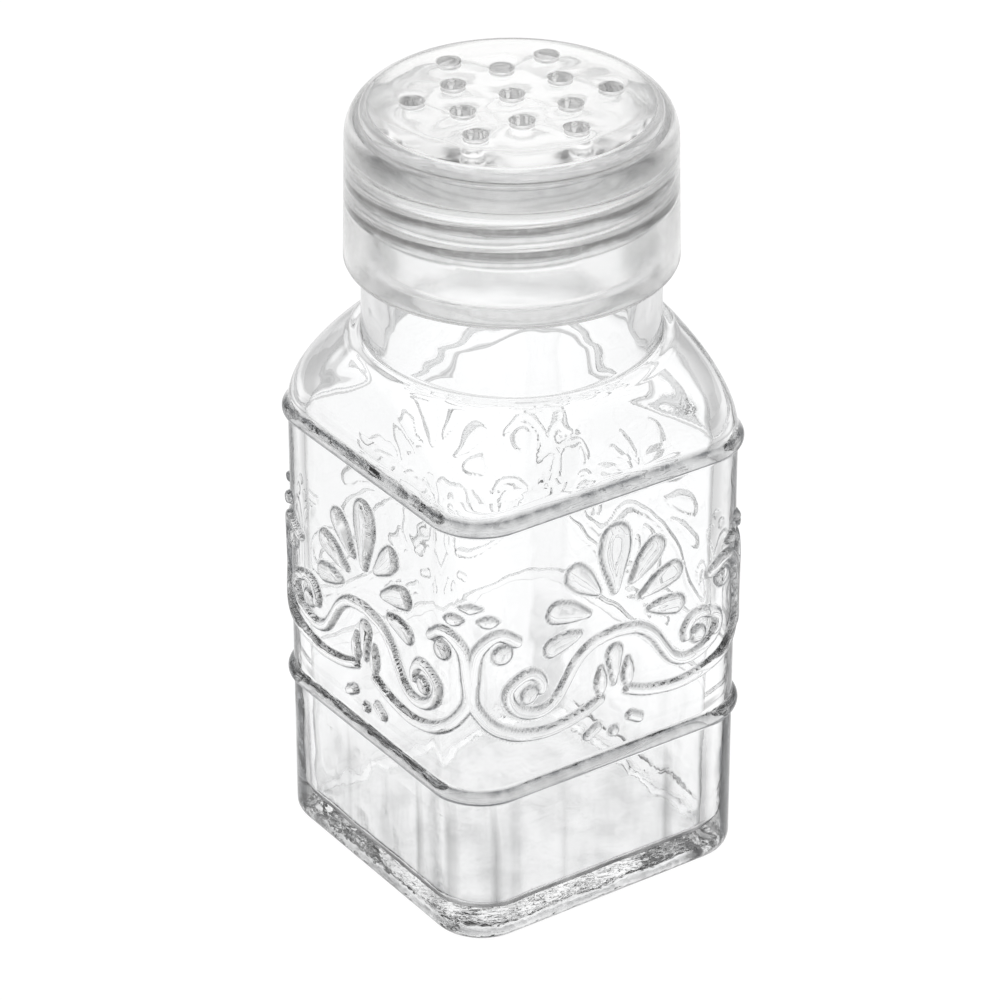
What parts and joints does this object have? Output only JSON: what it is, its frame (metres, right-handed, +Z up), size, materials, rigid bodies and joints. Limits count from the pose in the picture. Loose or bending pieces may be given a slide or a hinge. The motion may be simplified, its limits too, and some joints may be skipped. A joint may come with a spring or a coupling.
{
  "type": "parmesan shaker",
  "caption": "Square clear glass shaker jar with ribs, pressed scroll relief and domed shoulders, closed by a clear plastic screw cap pierced with round pouring holes.",
  "frame": {"origin": "middle of the base, on the plane it stands on", "axes": "+Z up along the jar's axis; the flat sides face -X, +X, -Y and +Y"},
  "size_m": [0.0664, 0.0664, 0.1516],
  "materials": {
    "clear_glass": "clear, fire-polished",
    "clear_plastic": "clear, faintly grey, moulded gloss"
  },
  "bodies": {
    "jar": {"glass_jar": "clear_glass"},
    "cap": {"screw_cap": "clear_plastic"}
  },
  "joints": [
    {"name": "cap_lift", "type": "slide", "parent": "jar", "child": "cap", "axis": [0, 0, 1], "range_m": [0, 0.08]}
  ]
}
